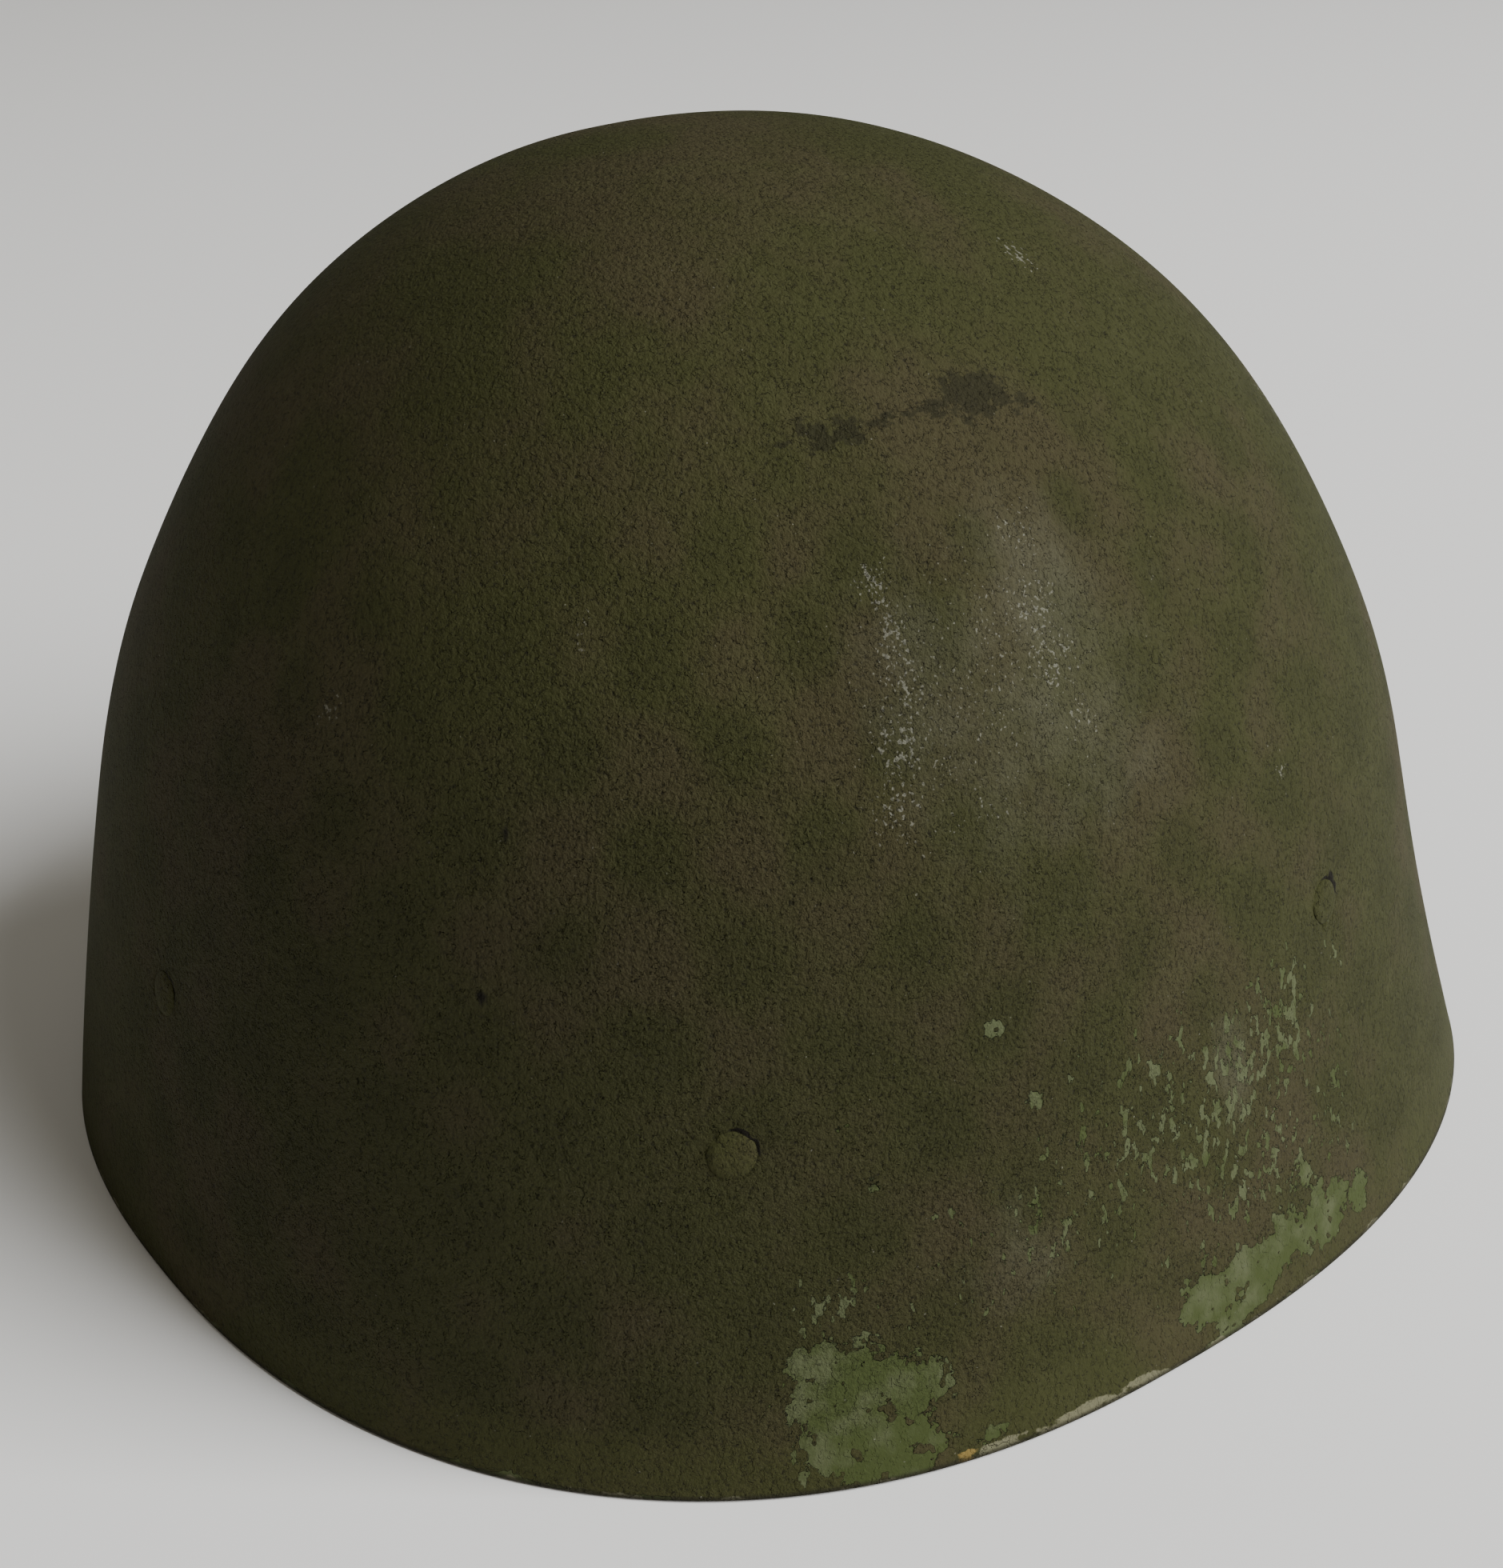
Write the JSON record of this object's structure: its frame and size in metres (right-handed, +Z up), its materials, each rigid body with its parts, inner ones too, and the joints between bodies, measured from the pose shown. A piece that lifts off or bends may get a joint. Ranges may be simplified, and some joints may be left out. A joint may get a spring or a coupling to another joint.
{
  "type": "military helmet",
  "caption": "Pressed steel combat helmet with a riveted leather and felt liner, a crown lace and a two-part buckled chin strap on wire rings.",
  "frame": {"origin": "centre of the helmet's outline on the plane that its rim stands on", "axes": "-Y towards the front of the helmet, +X towards the wearer's left, +Z up, as it stands on its rim"},
  "size_m": [0.238, 0.2696, 0.1773],
  "materials": {
    "painted_steel": "matte, granular",
    "liner_steel": "dull, oxidised",
    "fitting_steel": "worn satin",
    "liner_leather": "worn, matte",
    "strap_leather": "worn, satin",
    "felt": "felted wool",
    "lace_cord": "cotton cord"
  },
  "bodies": {
    "helmet": {"shell": "painted_steel", "liner_rivets": "painted_steel", "rivet_washers": "liner_steel", "distance_collars": "liner_steel", "liner_band": "liner_steel", "sweatband": "liner_leather", "felt_pad_front_left": "felt", "felt_pad_left": "felt", "felt_pad_rear_left": "felt", "felt_pad_front_right": "felt", "felt_pad_right": "felt", "felt_pad_rear_right": "felt", "tongue_1": "liner_leather", "tongue_2": "liner_leather", "tongue_3": "liner_leather", "tongue_4": "liner_leather", "tongue_5": "liner_leather", "tongue_6": "liner_leather", "tongue_7": "liner_leather", "tongue_8": "liner_leather", "crown_lace": "lace_cord", "ring_plate_left": "liner_steel", "ring_plate_right": "liner_steel", "plate_rivets": "liner_steel"},
    "ring_left": {"strap_ring_left": "fitting_steel"},
    "ring_right": {"strap_ring_right": "fitting_steel"},
    "long_strap": {"strap_long": "strap_leather", "strap_rivet_long": "fitting_steel"},
    "short_strap": {"strap_short": "strap_leather", "strap_rivets_short": "fitting_steel"},
    "keeper": {"strap_keeper": "strap_leather"},
    "buckle": {"buckle_frame": "fitting_steel"},
    "prong": {"buckle_prong": "fitting_steel"},
    "roller": {"buckle_roller": "fitting_steel"}
  },
  "joints": [
    {"name": "ring_left_swing", "type": "hinge", "parent": "helmet", "child": "ring_left", "pos_m": [0.10021, -0.0195, 0.04185], "axis": [0, 0.9984, 0.0567], "range_deg": [-8, 55]},
    {"name": "ring_right_swing", "type": "hinge", "parent": "helmet", "child": "ring_right", "pos_m": [-0.10021, -0.0195, 0.04185], "axis": [0, -0.9984, -0.0567], "range_deg": [-8, 55]},
    {"name": "long_strap_swing", "type": "hinge", "parent": "ring_left", "child": "long_strap", "pos_m": [0.10021, -0.01865, 0.02687], "axis": [0, -0.9984, -0.0567], "range_deg": [-30, 65]},
    {"name": "short_strap_swing", "type": "hinge", "parent": "ring_right", "child": "short_strap", "pos_m": [-0.10021, -0.01865, 0.02687], "axis": [0, 0.9984, 0.0567], "range_deg": [-30, 65]},
    {"name": "keeper_slide", "type": "slide", "parent": "short_strap", "child": "keeper", "axis": [-1, 0, 0], "range_m": [0, 0.012]},
    {"name": "buckle_swing", "type": "hinge", "parent": "short_strap", "child": "buckle", "pos_m": [-0.022, -0.01749, 0.00642], "axis": [0, 0.9984, 0.0567], "range_deg": [-45, 45]},
    {"name": "prong_swing", "type": "hinge", "parent": "buckle", "child": "prong", "pos_m": [-0.022, -0.01749, 0.00642], "axis": [0, -0.9984, -0.0567], "range_deg": [0, 130]},
    {"name": "roller_spin", "type": "hinge", "parent": "buckle", "child": "roller", "pos_m": [-0.005, -0.01749, 0.00642], "axis": [0, 0.9984, 0.0567], "continuous": true}
  ]
}
